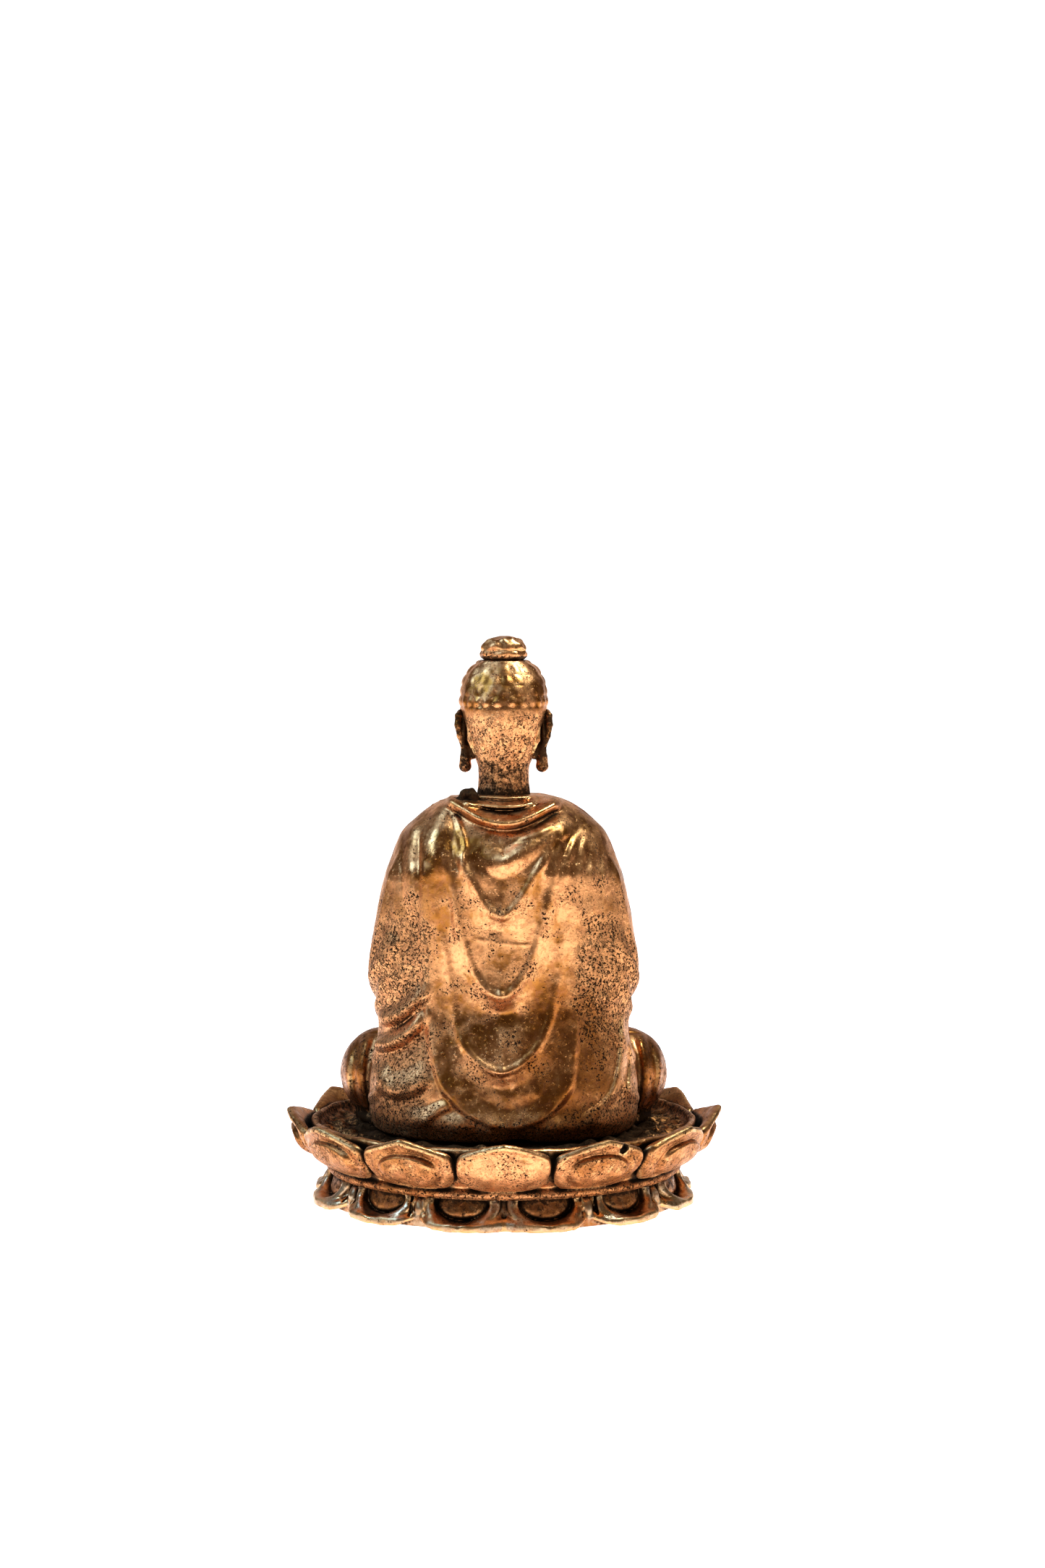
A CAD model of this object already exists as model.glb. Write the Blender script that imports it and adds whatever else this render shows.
"""Looks of the seated statue.

Every casting is sculpted as a distance field, turned into a mesh and finished in antiqued copper.
Sculpting works in millimetres, in the same frame as the CAD: +Z up, the figure faces -Y, its left is +X.
The meshes are written in metres.
"""

import math

import bmesh
import bpy
import numpy as np
import openvdb as vdb
from mathutils import Matrix, Vector


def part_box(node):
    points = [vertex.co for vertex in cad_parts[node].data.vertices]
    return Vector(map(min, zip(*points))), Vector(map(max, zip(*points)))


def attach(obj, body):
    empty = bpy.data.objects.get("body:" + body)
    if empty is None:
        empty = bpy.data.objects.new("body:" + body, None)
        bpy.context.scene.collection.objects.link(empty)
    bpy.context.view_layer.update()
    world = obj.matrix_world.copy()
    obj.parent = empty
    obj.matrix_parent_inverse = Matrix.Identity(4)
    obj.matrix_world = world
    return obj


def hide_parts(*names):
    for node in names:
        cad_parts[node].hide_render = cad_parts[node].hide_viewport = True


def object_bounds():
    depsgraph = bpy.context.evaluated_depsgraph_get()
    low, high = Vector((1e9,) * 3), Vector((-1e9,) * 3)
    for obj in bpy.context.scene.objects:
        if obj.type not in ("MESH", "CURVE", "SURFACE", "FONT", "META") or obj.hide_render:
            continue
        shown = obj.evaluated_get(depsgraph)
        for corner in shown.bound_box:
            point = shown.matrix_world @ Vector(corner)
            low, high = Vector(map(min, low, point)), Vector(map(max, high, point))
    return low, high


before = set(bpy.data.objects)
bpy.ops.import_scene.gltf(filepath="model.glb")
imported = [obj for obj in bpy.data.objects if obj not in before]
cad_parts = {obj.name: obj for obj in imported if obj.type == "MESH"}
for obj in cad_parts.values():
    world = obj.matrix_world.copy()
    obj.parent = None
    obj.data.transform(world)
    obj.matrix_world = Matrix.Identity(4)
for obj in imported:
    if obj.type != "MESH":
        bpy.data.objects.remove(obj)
cad_low, cad_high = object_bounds()

MM = 0.001
FINE = 1.0

# ---------------------------------------------------------------- sizes taken from the CAD, in millimetres


def span(node):
    low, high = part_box(node)
    return np.array(low) / MM, np.array(high) / MM


dish_high = span("lotus_dish")[1]
foot_high = span("lotus_foot")[1]
legs_low = span("leg_casting")[0]
back_low, back_high = span("robe_back")
front_low = span("robe_front")[0]
knot_high = span("topknot")[1]
plate_high = span("base_plate")[1]

TIP_R = dish_high[0]
TIP_Z = dish_high[2]
WAIST_Z = foot_high[2]
FOOT_R = 35.0
SEAT_Z = legs_low[2]
ELBOW_X = back_high[0]
BACK_Y = back_high[1] - 0.4
SEAM_Y = back_low[1]
COLLAR_Z = back_high[2]
LAP_Z = front_low[2]
KNOT_Z = 95.6
CROWN_Z = knot_high[2]
PETALS = 12
PITCH = 2 * math.pi / PETALS
NECK_R = 4.75
NECK_FLOOR = 67
BORE_SIDES = 96

# ---------------------------------------------------------------- sculpting in distance fields


def lattice(low, high, voxel):
    """Broadcastable x, y, z of a sampling lattice that covers a box with a margin."""
    axes = [np.arange(a - 4 * voxel, b + 4 * voxel, voxel, dtype=np.float32) for a, b in zip(low, high)]
    return np.meshgrid(*axes, indexing="ij", sparse=True)


def smoothstep(low, high, value):
    t = np.clip((value - low) / (high - low), 0, 1)
    return t * t * (3 - 2 * t)


def blend_min(a, b, k):
    """Union of two fields with a fillet of about k."""
    h = np.clip(0.5 + 0.5 * (b - a) / k, 0, 1)
    return b + (a - b) * h - k * h * (1 - h)


def blend_max(a, b, k):
    """Intersection of two fields with a rounding of about k."""
    return -blend_min(-a, -b, k)


def ball(p, centre, r):
    return np.sqrt(sum((q - c) ** 2 for q, c in zip(p, centre))) - r


def ellipsoid(p, centre, radii):
    k0 = np.sqrt(sum(((q - c) / r) ** 2 for q, c, r in zip(p, centre, radii)))
    k1 = np.sqrt(sum(((q - c) / r ** 2) ** 2 for q, c, r in zip(p, centre, radii)))
    return k0 * (k0 - 1) / np.maximum(k1, 1e-5)


def limb(p, a, b, ra, rb):
    """A straight limb from a to b whose radius goes from ra to rb."""
    a, b = np.array(a, np.float32), np.array(b, np.float32)
    ab = b - a
    t = sum((q - s) * d for q, s, d in zip(p, a, ab)) / float(ab @ ab)
    t = np.clip(t, 0, 1)
    reach = sum((q - s - t * d) ** 2 for q, s, d in zip(p, a, ab))
    return np.sqrt(reach) - (ra + (rb - ra) * t)


def chain(p, knots, k=0.3):
    """Limbs joined end to end through (x, y, z, radius) knots."""
    field = None
    for a, b in zip(knots, knots[1:]):
        part = limb(p, a[:3], b[:3], a[3], b[3])
        field = part if field is None else blend_min(field, part, k)
    return field


def through(xs, ys, x):
    """Smooth interpolation through points, with no overshoot."""
    xs, ys = np.array(xs, float), np.array(ys, float)
    step = np.diff(xs)
    slope = np.diff(ys) / step
    inner = np.where(
        slope[:-1] * slope[1:] > 0, 2 * slope[:-1] * slope[1:] / (slope[:-1] + slope[1:] + 1e-12), 0
    )
    tangent = np.concatenate([[slope[0]], inner, [slope[-1]]])
    x = np.clip(x, xs[0], xs[-1])
    i = np.clip(np.searchsorted(xs, x) - 1, 0, len(step) - 1)
    t = (x - xs[i]) / step[i]
    return (
        ys[i] * (1 + 2 * t) * (1 - t) ** 2
        + tangent[i] * step[i] * t * (1 - t) ** 2
        + ys[i + 1] * t * t * (3 - 2 * t)
        + tangent[i + 1] * step[i] * t * t * (t - 1)
    ).astype(np.float32)


def lofted(p, table):
    """Field of a stack of oval sections: rows of z, half width, front depth, back depth, squareness."""
    x, y, z = p
    columns = list(zip(*table))
    half, front, back, square = (through(columns[0], c, z) for c in columns[1:])
    depth = np.where(y > 0, back, front)
    r = np.sqrt(x * x + y * y) + 1e-4
    rim = ((np.abs(x) / (r * half)) ** square + (np.abs(y) / (r * depth)) ** square) ** (-1 / square)
    lean = np.gradient(rim, axis=2) / float(z[0, 0, 1] - z[0, 0, 0])
    return (r - rim) / np.sqrt(1 + lean * lean)


# ---------------------------------------------------------------- folds drawn on a flat map


def curve_through(knots, steps=7):
    """A smooth curve through 2-D knots."""
    k = np.array(knots, float)
    k = np.vstack([2 * k[0] - k[1], k, 2 * k[-1] - k[-2]])
    t = np.linspace(0, 1, steps, endpoint=False)[:, None]
    runs = []
    for a, b, c, d in zip(k, k[1:], k[2:], k[3:]):
        bend = (2 * a - 5 * b + 4 * c - d) * t ** 2
        runs.append(0.5 * (2 * b + (c - a) * t + bend + (3 * b - a - 3 * c + d) * t ** 3))
    return np.vstack(runs + [k[-2:-1]])


def fold(u, v, knots, height, left, right, taper, sharp):
    """Relief of one fold: a crest along the knots that falls away over left and right of its course."""
    line = curve_through(knots)
    lengths = np.hypot(*np.diff(line, axis=0).T)
    start = np.concatenate([[0], np.cumsum(lengths)]) / lengths.sum()
    best = np.full(np.broadcast(u, v).shape, 1e9, np.float32)
    side = np.zeros_like(best)
    along = np.zeros_like(best)
    for i, (a, b) in enumerate(zip(line, line[1:])):
        d = b - a
        t = np.clip(((u - a[0]) * d[0] + (v - a[1]) * d[1]) / (d @ d), 0, 1)
        gap = np.hypot(u - a[0] - t * d[0], v - a[1] - t * d[1])
        near = gap < best
        best = np.where(near, gap, best)
        side = np.where(near, d[0] * (v - a[1]) - d[1] * (u - a[0]), side)
        along = np.where(near, start[i] + t * (start[i + 1] - start[i]), along)
    reach = best / np.where(side > 0, left, right)
    crest = np.clip(1 - reach, 0, 1) ** sharp * (1 + sharp * np.clip(reach, 0, 1))
    ends = 1.0
    if taper[0] > 0:
        ends = ends * smoothstep(0, taper[0], along)
    if taper[1] > 0:
        ends = ends * smoothstep(0, taper[1], 1 - along)
    return (height * crest * ends).astype(np.float32)


def folds_on(u, v, folds, mirrored=False):
    """Relief of several folds on a map, and of their mirror images if mirrored."""
    relief = 0
    for knots, height, left, right, taper, sharp in folds:
        relief = relief + fold(u, v, knots, height, left, right, taper, sharp)
        if mirrored:
            relief = relief + fold(-u, v, knots, height, left, right, taper, sharp)
    return relief


def swag(x, z, knots, height, rise, drop, top):
    """Cloth that hangs in a U: it leans out down to a crest along the knots, then drops back below it."""
    crest = through(*zip(*knots), x)
    lean = np.gradient(crest, axis=0) / (x[1, 0] - x[0, 0])
    above = z - crest
    inside = np.clip(1 - above / rise, 0, 1) ** 1.12
    below = np.clip(1 + above / np.sqrt(1 + lean * lean) / drop, 0, 1)
    width = smoothstep(0, 1.2, np.minimum(x - knots[0][0], knots[-1][0] - x)) / (1 + 0.6 * np.abs(lean))
    face = np.where(above > 0, inside, below * below * (3 - 2 * below))
    return height * face * width * smoothstep(top, top - 8, z)


def waves(points, size, seed, count=14):
    """Smooth random relief of about unit height, for features about size across."""
    rng = np.random.default_rng(seed)
    out = 0
    for _ in range(count):
        direction = rng.normal(size=3)
        direction *= rng.uniform(0.6, 1.5) * math.pi / size / np.linalg.norm(direction)
        phase = rng.uniform(0, 2 * math.pi)
        out = out + np.sin(sum(q * c for q, c in zip(points, direction)) + phase)
    return (out / math.sqrt(count)).astype(np.float32)


# ---------------------------------------------------------------- field to mesh


def read_field(field, origin, voxel, points):
    """Trilinear values of a sampled field at points."""
    q = (points - origin) / voxel
    i = np.clip(np.floor(q).astype(int), 0, np.array(field.shape) - 2)
    f = np.clip(q - i, 0, 1)
    out = 0
    for dx in (0, 1):
        for dy in (0, 1):
            for dz in (0, 1):
                weight = (
                    (f[:, 0] if dx else 1 - f[:, 0])
                    * (f[:, 1] if dy else 1 - f[:, 1])
                    * (f[:, 2] if dz else 1 - f[:, 2])
                )
                out = out + weight * field[i[:, 0] + dx, i[:, 1] + dy, i[:, 2] + dz]
    return out


class Cast:
    """A sculpted casting on its way from field to Blender object."""

    def __init__(self, p, field):
        self.voxel = float(p[0][1, 0, 0] - p[0][0, 0, 0])
        self.origin = np.array([float(q.flat[0]) for q in p])
        shape = np.broadcast_shapes(*(q.shape for q in p))
        self.field = np.ascontiguousarray(np.broadcast_to(field, shape).astype(np.float32))
        grid = vdb.FloatGrid(float(self.field.max()))
        grid.copyFromArray(self.field)
        grid.transform = vdb.createLinearTransform(voxelSize=self.voxel)
        points, quads = grid.convertToQuads(isovalue=0.0)
        self.points = points.astype(float) + self.origin
        self.faces = quads[:, ::-1].astype(int)
        self.drop_islands()
        self.normals = self.slopes(self.points)

    def drop_islands(self):
        """Keeps the largest connected skin."""
        label = np.arange(len(self.points))
        edges = np.vstack([self.faces[:, [i, (i + 1) % 4]] for i in range(4)])
        while True:
            low = np.minimum(label[edges[:, 0]], label[edges[:, 1]])
            fresh = label.copy()
            np.minimum.at(fresh, edges[:, 0], low)
            np.minimum.at(fresh, edges[:, 1], low)
            fresh = fresh[fresh]
            fresh = fresh[fresh]
            if (fresh == label).all():
                break
            label = fresh
        names, counts = np.unique(label, return_counts=True)
        if len(names) == 1:
            return
        keep = label == names[counts.argmax()]
        index = np.cumsum(keep) - 1
        self.faces = index[self.faces[keep[self.faces[:, 0]]]]
        self.points = self.points[keep]

    def at(self, points):
        return read_field(self.field, self.origin, self.voxel, points)

    def on_skin(self, field):
        """Another field of the same lattice, read at the points of the skin."""
        field = np.ascontiguousarray(np.broadcast_to(field, self.field.shape))
        return read_field(field, self.origin, self.voxel, self.points)

    def slopes(self, points):
        step = self.voxel
        out = np.stack([self.at(points + step * e) - self.at(points - step * e) for e in np.eye(3)], axis=1)
        return out / np.maximum(np.linalg.norm(out, axis=1, keepdims=True), 1e-6)

    def roughen(self, height, size, seed):
        """Moves the skin in and out by a casting's fine unevenness."""
        self.points = self.points + self.normals * (height * waves(self.points.T, size, seed))[:, None]
        return self

    def recess(self, reach):
        """0 on open skin, up to 1 deep in a crevice."""
        return np.clip(1 - self.at(self.points + self.normals * reach) / reach, 0, 1)

    def crest(self, reach):
        """0 on flat skin, up to 1 on a sharp edge."""
        return np.clip(1 + self.at(self.points - self.normals * reach) / reach, 0, 1)


def finish_mesh(name, bm, material, node):
    """Makes the named piece out of a bmesh, in place of the CAD node."""
    mesh = bpy.data.meshes.new(name)
    bm.to_mesh(mesh)
    bm.free()
    piece = bpy.data.objects.new(name, mesh)
    bpy.context.scene.collection.objects.link(piece)
    mesh.materials.append(material)
    mesh.polygons.foreach_set("use_smooth", [True] * len(mesh.polygons))
    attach(piece, "root")
    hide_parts(node)
    return piece


def bmesh_of(cast, pitting=0, soot=0, amber=0):
    """The casting's skin in metres, with its recess, crest, pitting, soot and amber stored on the points."""
    mesh = bpy.data.meshes.new("skin")
    mesh.vertices.add(len(cast.points))
    mesh.vertices.foreach_set("co", (cast.points * MM).astype(np.float32).ravel())
    mesh.loops.add(cast.faces.size)
    mesh.loops.foreach_set("vertex_index", cast.faces.ravel().astype(np.int32))
    mesh.polygons.add(len(cast.faces))
    mesh.polygons.foreach_set("loop_start", np.arange(0, cast.faces.size, 4, dtype=np.int32))
    layers = {
        "recess": 0.5 * cast.recess(0.7) + 0.5 * cast.recess(1.8),
        "crest": cast.crest(0.5),
        "pitting": pitting + 0.35 * smoothstep(0.05, -0.3, cast.normals[:, 2]) + np.zeros(len(cast.points)),
        "soot": soot + np.zeros(len(cast.points)),
        "amber": amber + np.zeros(len(cast.points)),
    }
    for key, values in layers.items():
        layer = mesh.attributes.new(key, "FLOAT", "POINT")
        layer.data.foreach_set("value", values.astype(np.float32))
    mesh.update(calc_edges=True)
    bm = bmesh.new()
    bm.from_mesh(mesh)
    bpy.data.meshes.remove(mesh)
    return bm


def slice_off(bm, point, normal):
    """Cuts away what lies on the normal's side of a plane, and returns the open edges that leaves."""
    cut = bmesh.ops.bisect_plane(
        bm,
        geom=bm.verts[:] + bm.edges[:] + bm.faces[:],
        dist=1e-7,
        plane_co=Vector(point) * MM,
        plane_no=Vector(normal),
        clear_outer=True,
    )
    return [e for e in cut["geom_cut"] if isinstance(e, bmesh.types.BMEdge) and len(e.link_faces) == 1]


def lid(bm, edges, normal):
    """Fills flat openings, with the loops inside other loops left as holes.

    It does not fill the seam of robe_back, which stays open.
    """
    bmesh.ops.triangle_fill(bm, edges=edges, normal=normal, use_beauty=False)


def cap_off(bm, point, normal):
    """Cuts away what lies on the normal's side of a plane and fills the opening."""
    lid(bm, slice_off(bm, point, normal), normal)


def mirror(bm):
    """Makes a left piece into a right one."""
    bmesh.ops.transform(bm, matrix=Matrix.Diagonal((-1, 1, 1, 1)), verts=bm.verts)
    bmesh.ops.reverse_faces(bm, faces=bm.faces)


def ring_of_verts(bm, r, z):
    angles = [2 * math.pi * i / BORE_SIDES for i in range(BORE_SIDES)]
    verts = [bm.verts.new(Vector((r * math.cos(a), r * math.sin(a), z)) * MM) for a in angles]
    edges = [bm.edges.new((a, b)) for a, b in zip(verts, verts[1:] + verts[:1])]
    return verts, edges


def bore(bm, profile):
    """A turned inside surface through (radius, z) points. Returns its rings of verts and edges."""
    rings = [ring_of_verts(bm, r, z) for r, z in profile]
    for (a, _), (b, _) in zip(rings, rings[1:]):
        for i in range(len(a)):
            j = (i + 1) % len(a)
            bm.faces.new((a[i], a[j], b[j], b[i]))
    return rings


# ---------------------------------------------------------------- materials


class Nodes:
    """Short-hand for building a node tree."""

    def __init__(self, owner):
        self.owner = owner
        owner.use_nodes = True
        self.tree = owner.node_tree
        self.tree.nodes.clear()
        self.place = self.add("ShaderNodeTexCoord").outputs

    def add(self, kind, **settings):
        node = self.tree.nodes.new(kind)
        for key, value in settings.items():
            setattr(node, key, value)
        return node

    def feed(self, socket, value):
        if isinstance(value, bpy.types.NodeSocket):
            self.tree.links.new(value, socket)
        else:
            socket.default_value = value

    def noise(self, size_mm, detail=3.0, rough=0.6):
        node = self.add("ShaderNodeTexNoise", noise_type="FBM")
        self.feed(node.inputs["Vector"], self.place["Object"])
        self.feed(node.inputs["Scale"], 1 / (size_mm * MM))
        self.feed(node.inputs["Detail"], detail)
        self.feed(node.inputs["Roughness"], rough)
        return node.outputs["Fac"]

    def mottle(self, size_mm, strength):
        """Noise centred on zero."""
        return self.math("MULTIPLY", self.math("SUBTRACT", self.noise(size_mm, 5.0, 0.7), 0.5), strength)

    def cells(self, size_mm):
        node = self.add("ShaderNodeTexVoronoi", feature="F1")
        self.feed(node.inputs["Vector"], self.place["Object"])
        self.feed(node.inputs["Scale"], 1 / (size_mm * MM))
        return node.outputs["Distance"]

    def point(self, name):
        return self.add("ShaderNodeAttribute", attribute_name=name).outputs["Fac"]

    def ramp(self, value, low, high, to_low=0.0, to_high=1.0):
        node = self.add("ShaderNodeMapRange", interpolation_type="SMOOTHSTEP")
        keys = ("Value", "From Min", "From Max", "To Min", "To Max")
        for key, item in zip(keys, (value, low, high, to_low, to_high)):
            self.feed(node.inputs[key], item)
        return node.outputs["Result"]

    def math(self, operation, *values, clamp=False):
        node = self.add("ShaderNodeMath", operation=operation, use_clamp=clamp)
        for socket, value in zip(node.inputs, values):
            self.feed(socket, value)
        return node.outputs[0]

    def mix(self, share, a, b):
        node = self.add("ShaderNodeMix", data_type="RGBA")
        self.feed(node.inputs[0], share)
        self.feed(node.inputs[6], a)
        self.feed(node.inputs[7], b)
        return node.outputs[2]

    def bump(self, height, depth_mm, below=None):
        node = self.add("ShaderNodeBump")
        self.feed(node.inputs["Strength"], 1.0)
        self.feed(node.inputs["Distance"], depth_mm * MM)
        self.feed(node.inputs["Height"], height)
        if below is not None:
            self.feed(node.inputs["Normal"], below)
        return node.outputs["Normal"]

    def surface(self, color, roughness, metallic, normal, glow=0.0):
        shader = self.add("ShaderNodeBsdfPrincipled")
        self.feed(shader.inputs["Base Color"], color)
        self.feed(shader.inputs["Roughness"], roughness)
        self.feed(shader.inputs["Metallic"], metallic)
        self.feed(shader.inputs["Normal"], normal)
        if glow:
            self.feed(shader.inputs["Emission Color"], (1, 1, 1, 1))
            self.feed(shader.inputs["Emission Strength"], glow)
        out = self.add("ShaderNodeOutputMaterial")
        self.feed(out.inputs["Surface"], shader.outputs[0])
        return self.owner


COPPER = (0.90, 0.43, 0.185, 1)
GOLD = (0.46, 0.18, 0.04, 1)
BRASS = (0.95, 0.54, 0.24, 1)
ROSE = (0.50, 0.20, 0.085, 1)
BROWN = (0.30, 0.115, 0.045, 1)
OLIVE = (0.40, 0.24, 0.10, 1)
AMBER = (0.42, 0.142, 0.026, 1)
PEWTER = (0.64, 0.45, 0.29, 1)
GRIME = (0.032, 0.015, 0.008, 1)
STAIN = (0.13, 0.062, 0.026, 1)


def antique_copper(name, pits=1.0, gold=0.5, olive=0.3, grime=1.0, base=COPPER):
    """Cast copper gold: warm and cool patches, grime in the recesses, rubbed crests and fine black pits."""
    n = Nodes(bpy.data.materials.new(name))
    zone = n.math("ADD", n.ramp(n.noise(5.0, 3.0), 0.42, 0.68), n.point("pitting"))
    zone = n.math("MINIMUM", zone, 1.35)
    patches = n.ramp(n.noise(8.0, 4.0, 0.65), 0.6 - 0.3 * gold, 0.74 - 0.3 * gold)
    patches = n.math("MULTIPLY", patches, n.ramp(zone, 0.2, 1.1, 1.0, 0.15))
    color = n.mix(patches, base, GOLD)
    amber = n.math("ADD", n.point("amber"), n.mottle(2.6, 1.2))
    color = n.mix(n.ramp(amber, 0.25, 0.75, 0.0, 0.9), color, AMBER)
    color = n.mix(n.ramp(n.noise(6.3, 4.0), 0.74 - 0.28 * olive, 0.84 - 0.2 * olive, 0.0, 0.6), color,
     OLIVE)
    color = n.mix(n.ramp(n.noise(1.3, 6.0, 0.75), 0.48, 0.62, 0.0, 0.6), color, ROSE)
    speck = n.ramp(n.noise(0.36, 4.0, 0.8), 0.5, 0.6)
    color = n.mix(n.math("MULTIPLY", speck, n.ramp(zone, 0.1, 0.9, 0.12, 0.7)), color, BROWN)
    crest = n.point("crest")
    color = n.mix(n.ramp(crest, 0.1, 0.45, 0.0, 0.8), color, BRASS)
    mottled = n.math("ADD", n.point("recess"), n.mottle(0.8, 0.5))
    stain = n.ramp(mottled, 0.24, 0.54, 0.0, 0.85 * grime)
    color = n.mix(stain, color, STAIN)
    soot = n.math("ADD", n.point("soot"), n.mottle(0.8, 1.8))
    soot = n.ramp(soot, 0.3, 0.7)
    dirt = n.math("MAXIMUM", n.ramp(mottled, 0.42, 0.8, 0.0, 0.95 * grime), n.math("MULTIPLY", soot, 0.9))
    color = n.mix(dirt, color, GRIME)

    hole = n.noise(0.42, 2.0, 0.7)
    threshold = n.ramp(zone, 0.0, 1.35, 0.74, 0.74 - 0.2 * pits)
    pit = n.ramp(n.math("SUBTRACT", hole, threshold), 0.0, 0.03)
    pin = n.ramp(n.cells(1.5), 0.05, 0.1, 1.0, 0.0)
    pit = n.math("MAXIMUM", pit, n.math("MULTIPLY", pin, n.ramp(n.noise(4.0, 1.0), 0.42, 0.55)), clamp=True)
    vein = n.math("ABSOLUTE", n.math("SUBTRACT", n.noise(1.3, 5.0, 0.75), 0.5))
    vein = n.math("MULTIPLY", n.ramp(vein, 0.012, 0.03, 1.0, 0.0), n.ramp(n.noise(1.5, 3.0), 0.46, 0.56))
    veined = n.ramp(n.point("pitting"), 0.5, 0.9, 0.0, pits)
    pit = n.math("MAXIMUM", pit, n.math("MULTIPLY", vein, veined), clamp=True)
    color = n.mix(n.math("MULTIPLY", pit, 0.92), color, GRIME)

    roughness = n.ramp(n.noise(2.2, 4.0), 0.3, 0.7, 0.2, 0.34)
    roughness = n.math("ADD", roughness, n.math("MULTIPLY", zone, 0.17))
    roughness = n.math("ADD", roughness, n.math("MULTIPLY", n.math("MAXIMUM", dirt, pit), 0.3))
    grain = n.math("MULTIPLY", n.noise(0.4, 4.0, 0.7), n.ramp(zone, 0.1, 0.9, 0.35, 1.0))
    normal = n.bump(grain, 0.055)
    flecks = n.ramp(n.noise(0.55, 2.0, 0.6), 0.6, 0.7)
    normal = n.bump(flecks, 0.03, normal)
    normal = n.bump(n.math("SUBTRACT", 1.0, pit), 0.09, normal)
    return n.surface(color, roughness, 1.0, normal)


def plain_metal(name, tone, dark, roughness, scratch_mm):
    """Machined or drawn metal for the hidden fixings: fine scratches, dull spots and tarnish."""
    n = Nodes(bpy.data.materials.new(name))
    tarnish = n.ramp(n.noise(2.0, 5.0), 0.4, 0.7)
    color = n.mix(tarnish, tone, dark)
    rough = n.ramp(n.noise(0.8, 4.0), 0.3, 0.7, roughness - 0.08, roughness + 0.12)
    normal = n.bump(n.noise(scratch_mm, 5.0, 0.7), 0.02)
    return n.surface(color, rough, 1.0, normal)


CAST = antique_copper("antique_copper", olive=0.35)
CAST_HEAD = antique_copper("antique_copper_head", pits=0.85, gold=0.5, olive=0.3)
CAST_LOTUS = antique_copper("antique_copper_lotus", pits=0.85, gold=0.3, olive=0.1)
CAST_FOOT = antique_copper("antique_copper_foot", pits=0.6, gold=0.3, olive=0.8, base=PEWTER)
WIRE = plain_metal("brass_wire", (0.7, 0.42, 0.15, 1), (0.3, 0.15, 0.05, 1), 0.32, 0.2)
SHEET = plain_metal("bronze_sheet", (0.5, 0.27, 0.1, 1), (0.18, 0.08, 0.03, 1), 0.42, 0.4)
STEEL = plain_metal("zinc_steel", (0.56, 0.57, 0.6, 1), (0.3, 0.3, 0.3, 1), 0.3, 0.15)

# ---------------------------------------------------------------- robe

# z, half width, front depth, back depth, squareness
ROBE = [
    (SEAT_Z, 21.6, 9, BACK_Y - 2.4, 2.2),
    (SEAT_Z + 1.2, 23.2, 10.4, BACK_Y - 0.8, 2.2),
    (SEAT_Z + 4, 24, 11, BACK_Y - 0.4, 2.2),
    (20, 24, 12, BACK_Y - 0.5, 2.3),
    (25, 23.2, 12, BACK_Y - 1.5, 2.3),
    (LAP_Z + 2, 22.4, 12, BACK_Y - 2.7, 2.3),
    (35, 22.7, 11.4, BACK_Y - 3.9, 2.3),
    (41, ELBOW_X, 11, BACK_Y - 4.2, 2.3),
    (47, ELBOW_X - 0.8, 9.8, BACK_Y - 3.9, 2.3),
    (53, ELBOW_X - 1.9, 8.8, BACK_Y - 3.4, 2.3),
    (58, ELBOW_X - 3.1, 8.6, BACK_Y - 3.1, 2.3),
    (61, ELBOW_X - 4.2, 8.0, BACK_Y - 3.6, 2.2),
    (65, ELBOW_X - 5.9, 7.2, BACK_Y - 5.6, 2.2),
    (68, ELBOW_X - 8.8, 6.4, BACK_Y - 7.8, 2.1),
    (70.4, ELBOW_X - 12.2, 5.8, BACK_Y - 9.8, 2),
    (COLLAR_Z, 7.6, 5.4, BACK_Y - 11.2, 2),
]

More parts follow.
